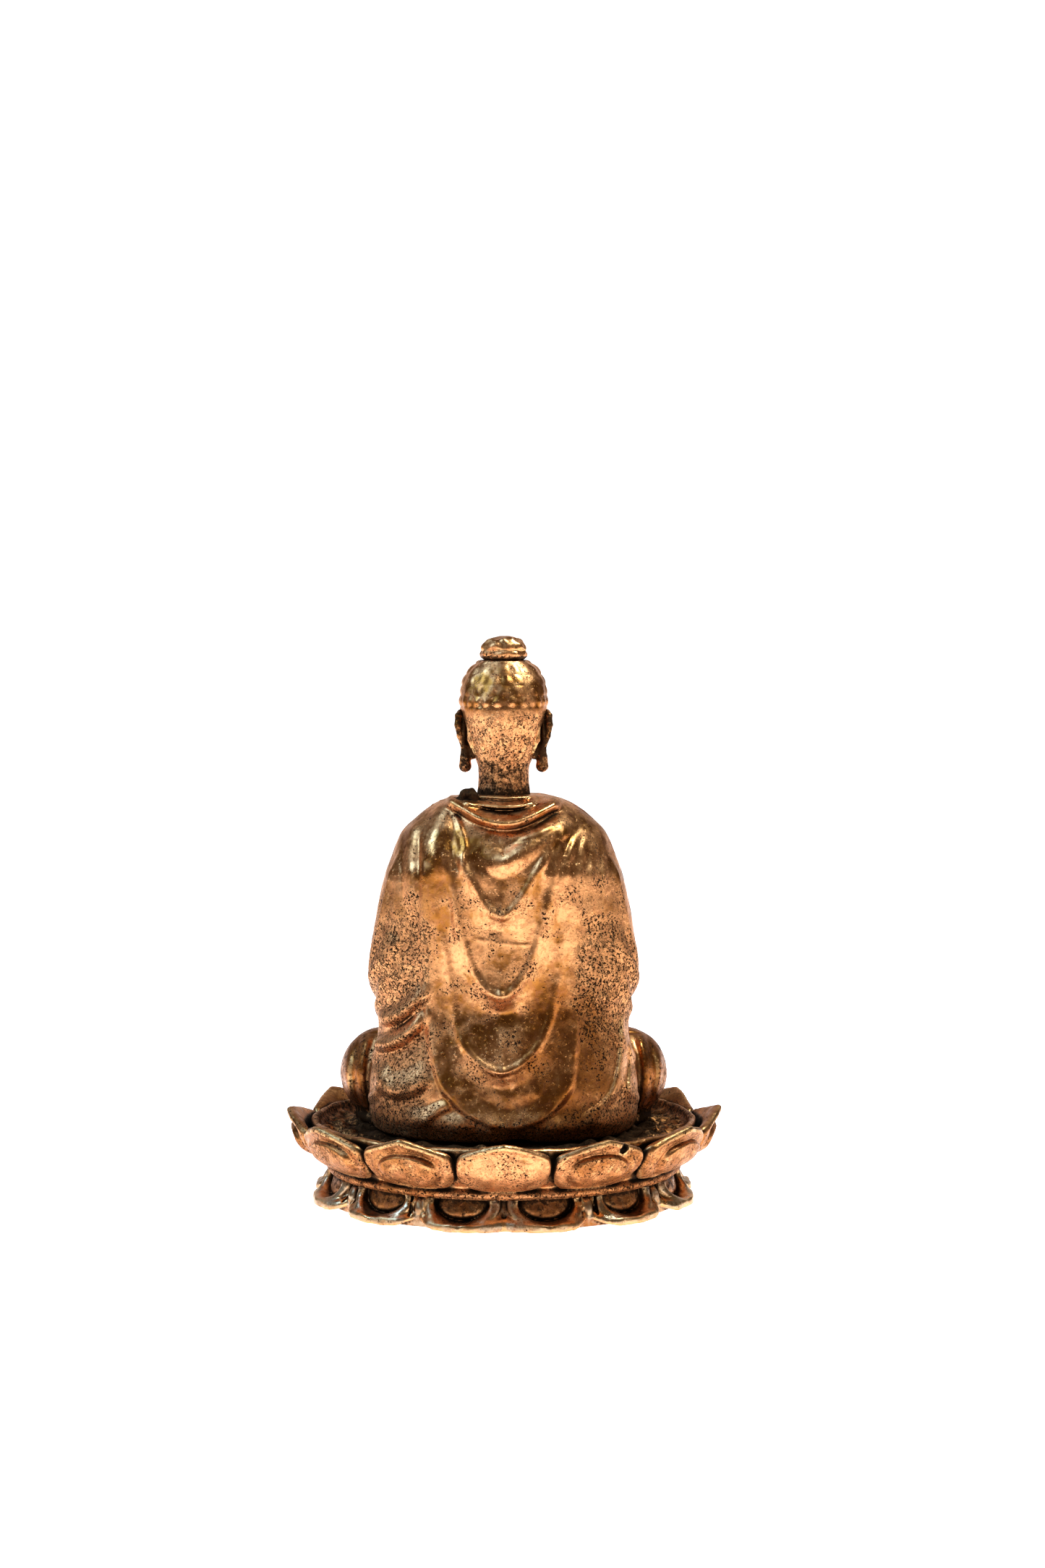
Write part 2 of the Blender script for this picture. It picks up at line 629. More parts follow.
# Each fold: knots (x, z), height, reach on its left and on its right, fading at its ends, sharpness
COLLAR_FOLDS = [
    ([(6.2, 71.9), (3.4, 71.9), (0, 71.7), (-3.4, 71.8), (-6, 71.9)], 0.9, 0.6, 0.6, (0.15, 0.15), 1.5),
    ([(7.6, 71.4), (5, 70.6), (1.2, 70.2), (-3, 70.3), (-6.2, 71)], 1.3, 0.75, 0.9, (0.1, 0.1), 1.5),
    (
        [(10.4, 71.4), (9, 70.8), (6.9, 69.8), (4.2, 68.4), (1.1, 67.6), (-2, 67.7), (-5.1, 68.8),
         (-8.2, 70.2), (-10.6, 71)],
        2.1, 1.5, 1.7, (0.05, 0.08), 1.4,
    ),
]
SWAG_FOLDS = [
    ([(-13, 68.6), (-9.6, 66.8), (-6.4, 64.9), (-3.4, 62.9), (-0.6, 60.9), (1.6, 61.4), (3.2, 63.6)],
     1.15, 2.1, 2.8, (0.2, 0.3), 1.4),
    ([(-9.4, 68), (-6.4, 66.2), (-2.8, 65), (0.6, 64.6)], 0.45, 0.9, 1.0, (0.3, 0.35), 1.6),
    (
        [(9.4, 69), (8.4, 64), (7, 60), (5.4, 56.8), (4, 54.4), (2.4, 52.4), (0.2, 51.5), (-1.6, 52.6),
         (-3.4, 55), (-4.9, 57.6), (-7, 61), (-9.6, 65), (-12, 68)],
        0.4, 1.1, 1.1, (0.2, 0.25), 1.4,
    ),
    (
        [(11, 66), (9.4, 58), (7.9, 50), (6.6, 45), (5.2, 41.4), (3, 38.6), (0.5, 37.6), (-1.6, 38.4),
         (-3.4, 40.6), (-5, 43.8), (-6.4, 48), (-8, 54), (-10.4, 61), (-13.4, 66.4)],
        0.4, 1.1, 1.1, (0.25, 0.25), 1.4,
    ),
    ([(6.6, 48), (4.4, 47.3), (1.2, 46.8), (-2.2, 46.3), (-5.2, 46.4)], 0.08, 0.4, 0.6, (0.25, 0.1), 1.6),
    (
        [(12, 56), (10.6, 47), (9.3, 40), (8.5, 34), (7.3, 29.8), (5.4, 27.1), (2.8, 25.3), (0.2, 24.7),
         (-2.8, 25.8), (-5.8, 28.6), (-8, 33.2), (-9.5, 39.6), (-10.2, 47), (-11.4, 56)],
        0.35, 1.0, 1.0, (0.3, 0.3), 1.4,
    ),
]
APRON_FOLDS = [
    (
        [(13.7, 69.6), (13.8, 60), (13.9, 52), (14.1, 46), (13.5, 38), (12.7, 31), (12, 26.4),
         (10.7, 22.4), (8.4, 19.3), (5.1, 17.2), (1.8, 15.9), (-1.4, 15.2), (-4.7, 16.1), (-8, 17.9),
         (-10.7, 20.7), (-11.8, 24), (-12.4, 30), (-12.6, 38), (-12.6, 46)],
        0.85, 1.1, 3.0, (0.06, 0.3), 1.4,
    ),
    ([(10.2, 71), (11.2, 67), (11.4, 62), (11.2, 57)], 0.9, 2.6, 2.6, (0.1, 0.4), 1.4),
    ([(9.2, 70), (7.7, 66.6), (6.8, 63.6), (7.3, 60.4), (8, 57)], 0.32, 0.7, 0.8, (0.1, 0.3), 1.5),
    ([(15.6, 68.8), (16.4, 62), (16.1, 55), (15.6, 48)], 0.6, 1.6, 1.8, (0.15, 0.4), 1.4),
    ([(18.6, 64), (19, 56), (18.8, 49)], 0.2, 1.0, 1.2, (0.3, 0.4), 1.5),
    ([(11.6, 54), (11.7, 48), (11.5, 42)], 0.3, 0.6, 0.6, (0.3, 0.3), 1.5),
    ([(-11.4, 67), (-9.6, 62.6), (-8.4, 58.4), (-7.9, 54)], 0.45, 1.1, 1.1, (0.2, 0.4), 1.5),
    ([(-13.4, 66.4), (-11.4, 61.4), (-10.2, 56), (-9.9, 51)], 0.35, 1.0, 1.0, (0.25, 0.4), 1.5),
    ([(-14.8, 66.2), (-13.6, 61), (-13.4, 56)], 0.2, 0.8, 0.9, (0.3, 0.4), 1.5),
    ([(-16.2, 65.4), (-15.4, 60), (-15.4, 54), (-14.8, 44)], 0.2, 0.7, 0.8, (0.3, 0.4), 1.5),
    ([(-17.8, 64), (-17.6, 58), (-17.8, 50)], 0.16, 0.7, 0.8, (0.3, 0.4), 1.5),
    ([(-12.6, 36), (-12.7, 31), (-12.4, 25.8)], 0.3, 0.5, 0.5, (0.3, 0.3), 1.5),
]
SLEEVE_FOLDS = [
    ([(13.3, 40), (15.6, 36.6), (18.2, 34.4), (20.8, 33), (23.4, 32.3)], 2.1, 1.2, 2.2, (0.35, 0.05), 1.3),
    ([(13.2, 36), (15.6, 32.4), (18.2, 30), (21, 28.5), (23.4, 28)], 2.0, 1.2, 2.0, (0.35, 0.05), 1.3),
    ([(12.2, 24.4), (14.2, 22.9), (16.6, 21.4), (19.2, 20.7), (21.6, 21.6), (23.2, 24)],
     1.2, 3.0, 2.0, (0.25, 0.1), 1.3),
    ([(9, 18.9), (11, 18), (13.2, 16.6), (15.4, 15)], 0.75, 1.5, 1.1, (0.1, 0.3), 1.5),
    ([(18.8, 48), (20.6, 43.6), (23.4, 41.4)], 0.8, 1.4, 1.6, (0.3, 0.2), 1.6),
    ([(-20.9, 34), (-20.8, 27.6), (-19.6, 21.6), (-17.4, 18.6), (-12.9, 15.9)],
     0.7, 0.6, 1.6, (0.2, 0.2), 1.4),
    ([(-22.6, 30), (-22.6, 24), (-21.6, 17.6)], 0.5, 0.6, 1.0, (0.2, 0.2), 1.5),
    ([(-16, 38), (-18.6, 36.2), (-21.6, 36.8)], 0.45, 1.2, 1.6, (0.3, 0.2), 1.6),
]
# Swags down the middle of the back: crest knots (x, z), height, rise above, drop below, fading height
SWAGS = [
    (
        [(-8.6, 64), (-7, 61), (-4.9, 57.4), (-3.4, 55), (-1.6, 52.6), (0.2, 51.5), (2.4, 52.4),
         (4, 54.4), (5.4, 56.8), (7, 60.4), (8.2, 65)],
        1.2, 6.2, 2.9, 66,
    ),
    (
        [(-9.8, 59), (-8, 52), (-6.4, 47), (-5, 43.6), (-3.4, 40.4), (-1.6, 38.4), (0.5, 37.6),
         (3, 38.6), (5.2, 41.4), (6.6, 45), (7.9, 50), (9.6, 59)],
        2.5, 18, 3.6, 60,
    ),
    (
        [(-11.4, 56), (-10.2, 47), (-9.5, 39.6), (-8, 33.2), (-5.8, 28.6), (-2.8, 25.8), (0.2, 24.7),
         (2.8, 25.3), (5.4, 27.1), (7.3, 29.8), (8.5, 34), (9.3, 40), (10.4, 47), (11.8, 56)],
        1.55, 11, 3.4, 52,
    ),
    (
        [(-13, 36), (-12.2, 28), (-11.2, 22.2), (-8, 17.9), (-4.7, 16.1), (-1.4, 15.2), (1.8, 15.9),
         (5.1, 17.2), (8.4, 19.3), (10.7, 22.4), (12, 26.4), (12.7, 31), (13.4, 38)],
        0.45, 9.0, 2.6, 40,
    ),
]
HEM_LUMPS = [(7.6, 15.4, 3.0, 2.0, 1.8), (2.6, 14.6, 2.2, 1.8, 1.3), (14.6, 15.6, 3.4, 2.0, 1.5),
             (-8.6, 15.0, 3.6, 2.0, 1.8), (-16.2, 15.6, 3.2, 2.0, 1.4)]


def back_relief(x, z):
    """Height of the drapery over the smooth back, as seen from behind."""
    relief = folds_on(x, z, COLLAR_FOLDS + SWAG_FOLDS + APRON_FOLDS + SLEEVE_FOLDS)
    for knots, height, rise, drop, top in SWAGS:
        relief = relief + swag(x, z, knots, height, rise, drop, top)
    for lump_x, lump_z, wide, tall, height in HEM_LUMPS:
        relief = relief + height * np.exp(-(((x - lump_x) / wide) ** 2) - ((z - lump_z) / tall) ** 2)
    gap = 1.3 * np.exp(-(((x + 2.6) / 2.2) ** 2) - ((z - 12.2) / 1.6) ** 2)
    return relief - gap


def neck_socket(p):
    x, y, z = p
    return np.maximum(np.sqrt(x * x + y * y) - NECK_R, NECK_FLOOR - z)


def robe_field(p):
    x, y, z = p
    field = lofted(p, ROBE)
    relief = back_relief(x[:, 0, :], z[0, :, :])[:, None, :]
    facing = smoothstep(0.05, 0.5, y / np.sqrt(x * x + y * y + 1))
    field = field - 0.95 * relief * facing - 0.8 * side_folds(p)
    field = blend_max(field, z - (COLLAR_Z - 0.1), 0.8)
    field = blend_max(field, (SEAT_Z + 0.3) + 0.5 * np.exp(-(((x + 2.6) / 2.4) ** 2)) - z, 1.0)
    return field


# Scraps of flash along the mould seam: x, z, radius
FLASH = [(12.5, 69.7, 0.4), (13.4, 69.1, 0.28), (11.2, 70.5, 0.3), (-11.6, 70.2, 0.3),
         (-13.1, 69.4, 0.22)]


def make_robe_back(voxel):
    p = lattice((-26, SEAM_Y - 0.6, SEAT_Z - 0.5), (26, BACK_Y + 2, COLLAR_Z + 1), voxel)
    x, y, z = p
    field = robe_field(p)
    field = blend_max(field, -neck_socket(p), 0.3)
    blob = blend_min(ellipsoid(p, (6.2, 6.6, 72.2), (1.5, 1.4, 0.9)), ball(p, (5.2, 7.2, 71.5), 0.9), 0.4)
    blob = blend_min(blob, ball(p, (7.4, 6.8, 71.2), 0.9), 0.3) + 0.12 * waves((x, y, z), 0.7, 13)
    field = blend_min(field, blob, 0.12)
    for flash_x, flash_z, size in FLASH:
        field = blend_min(field, ball(p, (flash_x, SEAM_Y + 0.4, flash_z), size), 0.15)
    cast = Cast(p, field)
    cast.roughen(0.012, 0.9, 11).roughen(0.04, 3.2, 12)
    px, py, pz = cast.points.T
    pitting = 0.16 * smoothstep(60, 56, pz) + 0.84 * smoothstep(21, 14, pz)
    pitting = pitting + 0.9 * smoothstep(9, 3, np.hypot((px + 18) * 1.1, (pz - 39) * 0.7))
    pitting = pitting + 0.4 * smoothstep(58, 54, pz) * smoothstep(11, 14, np.abs(px))
    pitting = pitting + 0.4 * smoothstep(9, 4, np.hypot((px - 19) * 1.1, (pz - 42) * 0.7))
    pitting = pitting + 0.4 * smoothstep(8, 3, np.hypot(px - 17.5, pz - 25))
    soot = smoothstep(0.3, 0.1, cast.on_skin(blob)) * 1.5 + 0.2 * smoothstep(12.4, 11, pz)
    amber = 0.6 * smoothstep(13, 6, np.hypot(px + 10.5, 0.6 * (pz - 25)))
    amber = amber + 0.3 * smoothstep(59, 62, pz) + 0.06
    bm = bmesh_of(cast, pitting, soot, amber)
    cap_off(bm, (0, SEAM_Y, 0), (0, -1, 0))
    return finish_mesh("robe_back_drape", bm, CAST, "robe_back")


# Folds seen from the side, as (y, z) knots, on both sleeves
SIDE_FOLDS = [
    ([(-2.5, 66), (-3.4, 56), (-4.6, 46)], 0.5, 1.2, 1.6, (0.3, 0.3), 1.6),
    ([(5.5, 64), (6, 54), (4.4, 44), (0.6, 38)], 0.55, 1.4, 1.4, (0.3, 0.3), 1.6),
    ([(9, 50), (6.4, 42.6), (0.4, 37.2), (-5.4, 35.4)], 0.7, 1.8, 1.4, (0.3, 0.15), 1.5),
    ([(9.4, 43), (6, 37), (0, 33.2), (-6, 32)], 0.6, 1.6, 1.3, (0.3, 0.15), 1.5),
    ([(9.6, 31), (5, 26.6), (1.4, 24.8)], 0.6, 1.8, 1.3, (0.3, 0.1), 1.5),
    ([(12, 24), (7, 19.4), (1.4, 17.4)], 0.5, 1.6, 1.2, (0.3, 0.1), 1.5),
]


def across_from(half):
    """Knots from the right shoulder to the left, from their left half."""
    return [(-x, z) for x, z in half[:0:-1]] + half


# Folds on the chest, as (x, z) knots. They hang evenly from both shoulders.
CHEST_FOLDS = [
    (across_from([(0, 63.4), (3.6, 64.2), (6.8, 66.4), (9.6, 69.6)]), 0.9, 0.7, 1.5, (0.06, 0.06), 1.4),
    (across_from([(0, 59.5), (3.8, 60.3), (7.6, 62.8), (11.4, 67.4)]), 0.8, 1.6, 1.5, (0.2, 0.2), 1.5),
    (across_from([(0, 53.8), (4.2, 54.8), (8.6, 58), (12.6, 64)]), 0.85, 2.0, 1.7, (0.22, 0.22), 1.5),
    (across_from([(0, 47.4), (4.6, 48.6), (9, 52), (12.8, 58.6)]), 0.85, 2.2, 1.8, (0.22, 0.22), 1.5),
    (across_from([(0, 41.2), (4.8, 42.4), (9, 45.8), (12.4, 52)]), 0.8, 2.2, 1.8, (0.22, 0.22), 1.5),
    (across_from([(0, 36.2), (4, 37), (8, 39.8), (11.6, 45.6)]), 0.7, 1.8, 1.6, (0.22, 0.22), 1.5),
]
CUFF_FOLDS = [
    ([(22.4, 44), (17.6, 38.6), (11.6, 36.4)], 0.6, 1.5, 1.3, (0.3, 0.2), 1.5),
    ([(22.8, 40), (18, 34.8), (12.4, 33)], 0.6, 1.4, 1.2, (0.3, 0.2), 1.5),
    ([(22.6, 35.6), (18.6, 31.2), (13.6, 29.8)], 0.6, 1.4, 1.2, (0.3, 0.2), 1.5),
    ([(20.4, 58), (18.4, 50), (18.8, 43)], 0.5, 1.3, 1.5, (0.3, 0.3), 1.5),
    ([(16.6, 63), (14.8, 54), (14.8, 46)], 0.5, 1.3, 1.5, (0.3, 0.3), 1.5),
]


def side_folds(p):
    """Relief of the sleeves' folds, which shows where the robe faces sideways."""
    x, y, z = p
    relief = folds_on(y[0, :, :], z[0, :, :], SIDE_FOLDS)[None, :, :]
    return relief * smoothstep(0.72, 0.95, np.abs(x) / np.sqrt(x * x + y * y + 1))


def make_robe_front(voxel):
    p = lattice((-26, -21, LAP_Z - 0.6), (26, SEAM_Y + 0.6, COLLAR_Z + 1), voxel)
    x, y, z = p
    q = (np.abs(x), y, z)
    shallow = [(h, w, 0.6 * f, b, n) for h, w, f, b, n in ROBE]
    field = lofted(p, shallow)
    chest = ellipsoid(p, (0, -2.2, 57), (14.2, 9.2, 15.5))
    belly = ellipsoid(p, (0, -3.2, 40), (13.6, 9.4, 15))
    torso = blend_min(chest, belly, 4)
    field = blend_min(field, torso, 2.0)
    arm = limb(q, (13.9, -1.4, 59.5), (17.9, -4.2, 40), 5.0, 5.4)
    forearm = limb(q, (18.0, -6, 36.6), (10.6, -14.4, 32.6), 5.2, 3.9)
    drape = ellipsoid(q, (15.6, -8.6, 31), (6.6, 6.6, 4.6))
    sleeve = blend_min(blend_min(arm, forearm, 2.5), drape, 2.0)
    field = blend_min(field, sleeve, 1.3)
    seen = (x[:, 0, :], z[0, :, :])
    relief = folds_on(*seen, CHEST_FOLDS) + folds_on(*seen, CUFF_FOLDS, mirrored=True)
    facing = smoothstep(0.05, 0.45, -y / np.sqrt(x * x + y * y + 1))
    field = field - 0.9 * relief[:, None, :] * facing - 0.8 * side_folds(p)
    bare = ellipsoid(p, (0, -9.5, 70.5), (6.4, 6.5, 6.6))
    field = blend_max(field, -bare, 0.5)
    field = blend_min(field, ellipsoid(p, (0, 0.4, 62), (9.5, 7.0, 9.5)), 0.4)
    throat = limb(p, (0, -1.6, 62), (0, -1.0, 67.6), 6.4, 5.3)
    field = blend_min(field, throat, 1.2)
    field = blend_max(field, z - (COLLAR_Z - 0.1), 0.8)
    field = blend_max(field, -neck_socket(p), 0.3)
    sleeve_mouth = limb(q, (6.5, -18.5, 31.6), (12.2, -13, 32.8), 2.9, 2.4)
    field = blend_max(field, -sleeve_mouth, 0.4)
    cast = Cast(p, field)
    cast.roughen(0.012, 0.9, 21).roughen(0.04, 3.2, 22)
    px, py, pz = cast.points.T
    side = smoothstep(10, 3, np.hypot((np.abs(px) - 20) * 0.9, (pz - 41) * 0.6)) * smoothstep(-12, 0, py)
    bm = bmesh_of(cast, 0.15 + 0.16 * smoothstep(60, 56, pz) + 0.7 * side, amber=0.06)
    cap_off(bm, (0, SEAM_Y, 0), (0, 1, 0))
    cap_off(bm, (0, 0, LAP_Z), (0, 0, -1))
    return finish_mesh("robe_front_shell", bm, CAST, "robe_front")


# ---------------------------------------------------------------- legs

# Folds over the shins, seen from the front as (x, z) knots, drawn for the left and mirrored
SHIN_FOLDS = [
    ([(28.6, 22.4), (22, 21.6), (13, 22.6), (4.6, 24.6)], 0.6, 1.4, 1.3, (0.2, 0.3), 1.5),
    ([(28.8, 18.6), (21, 16.8), (12, 17.8), (3.4, 20.6)], 0.65, 1.4, 1.3, (0.2, 0.3), 1.5),
    ([(27, 14.8), (19.6, 13.4), (11.6, 14), (4, 16.2)], 0.6, 1.2, 1.2, (0.2, 0.3), 1.5),
]
HEM_FAN = [([(s * a, 12.4), (s * a * 0.62, 15.2), (s * a * 0.3, 17.6)], 0.55, 0.8, 0.8, (0.05, 0.5), 1.4)
           for s in (-1, 1) for a in (1.1, 3.4, 5.8, 8.2)]
KNEE_FOLDS = [
    ([(24.2, 28.4), (25.4, 24), (25.4, 18.6), (24, 13.6)], 0.9, 1.4, 1.0, (0.15, 0.15), 1.5),
    ([(27.4, 26), (28.2, 21), (27.2, 15.6)], 0.45, 0.9, 0.9, (0.3, 0.3), 1.5),
]


def make_legs(voxel):
    p = lattice((-31, -27, SEAT_Z - 0.6), (31, SEAM_Y + 4, LAP_Z + 2), voxel)
    x, y, z = p
    q = (np.abs(x), y, z)
    thigh = limb(q, (10, -3, 20.4), (21.7, -9.5, 20.6), 8.0, 8.1)
    shin = limb(q, (21.9, -12.6, 19.2), (2, -18.8, 17.4), 7.0, 6.0)
    field = blend_min(thigh, shin, 2.2)
    field = blend_min(field, ellipsoid(p, (0, -8, 19.4), (17, 11, 8.6)), 3.0)
    hem = ellipsoid(p, (0, -17.4, 11.6), (12.5, 8.2, 5.2))
    field = blend_min(field, hem, 0.7)
    base = ellipsoid(p, (0, -9, 12.6), (27, 14.5, 4.6))
    field = blend_min(field, base, 1.5)
    seen = (x[:, 0, :], z[0, :, :])
    front = folds_on(*seen, SHIN_FOLDS, mirrored=True) + folds_on(*seen, HEM_FAN)
    ahead = smoothstep(0.1, 0.5, -(y + 8) / np.sqrt(x * x * 0.3 + (y + 8) ** 2 + 1))
    behind = folds_on(*seen, KNEE_FOLDS, mirrored=True)
    away = smoothstep(0.0, 0.4, (y + 9) / np.sqrt((np.abs(x) - 21) ** 2 + (y + 9) ** 2 + 1))
    field = field - 0.9 * front[:, None, :] * ahead - 0.8 * behind[:, None, :] * away
    hips = blend_max(lofted(p, ROBE), -6.5 - y, 2.0) - 0.8 * side_folds(p)
    field = blend_min(field, hips, 1.2)
    for side in (-1, 1):
        sole = [(side * 15, -13.4, 26.0, 2.6), (side * 10, -16.6, 26.2, 2.4), (side * 6.6, -18.4, 26.4, 1.9)]
        field = blend_min(field, chain(p, sole), 0.4)
        for toe in range(5):
            tip = (side * (6.0 - 0.35 * abs(toe - 1.6)), -16.9 - 0.85 * toe, 26.9 - 0.42 * toe)
            field = blend_min(field, ball(p, tip, 0.86 - 0.07 * toe), 0.22)
    field = blend_max(field, np.where(y > -7, z - LAP_Z + 0.05, -9), 0.4)
    field = blend_max(field, y - SEAM_Y - 0.8, 0.5)
    field = blend_max(field, SEAT_Z + 0.1 - z, 0.9)
    cast = Cast(p, field)
    cast.roughen(0.012, 0.9, 31).roughen(0.05, 3.2, 32)
    px, py, pz = cast.points.T
    low = smoothstep(16, 12.2, pz)
    out = smoothstep(24.0, 25.2, np.abs(px))
    knee = np.maximum(smoothstep(18, 21.5, np.abs(px)) * smoothstep(-4.5, -8, py), out)
    bm = bmesh_of(
        cast,
        0.6 * low + 0.5 * smoothstep(-8, -4, py) * (1 - out),
        0.6 * low + 0.36 * knee,
        0.15 + knee * (0.65 + 0.35 * smoothstep(20, 23, -px)),
    )
    cap_off(bm, (0, SEAM_Y, 0), (0, 1, 0))
    return finish_mesh("crossed_legs", bm, CAST, "leg_casting")


# ---------------------------------------------------------------- hands


def make_hand(side, palm_z, name, node, voxel):
    """A hand lying palm up: its fingers cross to the other side and its thumb rises to the other thumb."""
    p = lattice((-12, -27, LAP_Z), (14, -12, LAP_Z + 9), voxel)
    x, y, z = p
    field = ellipsoid(p, (5.6, -19.6, palm_z - 0.05), (4.5, 3.9, 1.55))
    for k in range(4):
        y0 = -17.3 - 1.5 * k
        knots = [
            (4.6, y0, palm_z, 0.98),
            (0.4, y0 - 0.1, palm_z + 0.1, 0.92),
            (-3.4, y0 + 0.1, palm_z + 0.25, 0.86),
            (-6.0 + 0.7 * abs(k - 1.4), y0 + 0.25, palm_z + 0.35, 0.72),
        ]
        field = blend_min(field, chain(p, knots, 0.25), 0.28)
    thumb = [(7.2, -22.2, palm_z + 0.2, 1.15), (5.0, -23.7, palm_z + 1.4, 1.0),
             (2.6, -24.0, LAP_Z + 5.4, 0.82),
             (0.75, -23.8, LAP_Z + 6.3, 0.66)]
    field = blend_min(field, chain(p, thumb, 0.3), 0.6)
    wrist = [(8.0, -18.6, palm_z + 0.2, 1.7), (10.4, -16.4, LAP_Z + 3.6, 1.75),
             (12.2, -14.6, LAP_Z + 4.4, 1.8)]
    field = blend_min(field, chain(p, wrist, 0.3), 1.0)
    cast = Cast(p, field)
    cast.roughen(0.02, 0.7, 41)
    bm = bmesh_of(cast)
    if side < 0:
        mirror(bm)
    return finish_mesh(name, bm, CAST_HEAD, node)


# ---------------------------------------------------------------- head

# z, half width, front depth, back depth, squareness
SKULL = [
    (66.9, 3.3, 3.3, 3.3, 2),
    (COLLAR_Z - 0.6, 4.75, 4.5, 4.8, 2),
    (74, 4.5, 4.4, 4.6, 2),
    (76.2, 4.5, 4.7, 4.6, 2),
    (78.2, 5.05, 6.9, 5.2, 2),
    (80.4, 5.8, 7.8, 6.0, 2.1),
    (83, 6.5, 8.1, 7.1, 2.1),
    (86, 7.35, 8.1, 7.85, 2.1),
    (88.3, 7.6, 8.0, 7.65, 2),
    (91, 7.35, 7.4, 6.75, 2),
    (92.6, 6.8, 6.5, 5.8, 2),
    (94.2, 5.7, 5.2, 4.7, 2),
    (KNOT_Z + 0.2, 3.7, 3.4, 3.6, 2),
]
CURL = 1.9
CURL_TOP = 94.1


def curl_relief(p):
    """Rows of snail curls: crisp over the brow and temples, worn soft at the back, none on the face."""
    x, y, z = p
    row = np.round((CURL_TOP - z) / CURL)
    up = (CURL_TOP - z) / CURL - row
    columns = list(zip(*SKULL))
    count = np.round(2 * math.pi * through(columns[0], columns[1], CURL_TOP - row * CURL) / 2.1)
    turn = np.arctan2(y, x) / (2 * math.pi) * count + 0.5 * np.mod(row, 2) + 0.07 * np.sin(3 * row)
    across = turn - np.round(turn)
    ahead = np.arctan2(np.abs(x), -y)
    worn = smoothstep(1.2, 1.8, ahead)
    dome = np.clip(1 - (1.8 * up) ** 2 - (1.8 * across) ** 2, 0, 1) ** 0.7
    swell = np.where(row > 2, 1.0, 0.75)
    phase = 2 * math.pi * (swell * turn + 0.37 * row) + np.sin(turn + row)
    pad = np.clip(1 - (1.9 * up) ** 2, 0, 1) * (0.5 + 0.5 * np.cos(phase))
    hairline = 90.4 - 3.4 * smoothstep(0.45, 1.05, ahead) - 8 * smoothstep(1.2, 1.75, ahead)
    hair = smoothstep(hairline - 0.25, hairline + 0.25, z)
    back = 0.12 - 0.09 * smoothstep(88.0, 86.2, z + 0.4 * np.sin(2.6 * turn))
    back = back + 0.1 * np.exp(-(((z - 88.2) / 0.9) ** 2))
    return hair * ((1 - worn) * (0.42 * dome + 0.22) + worn * back * pad)


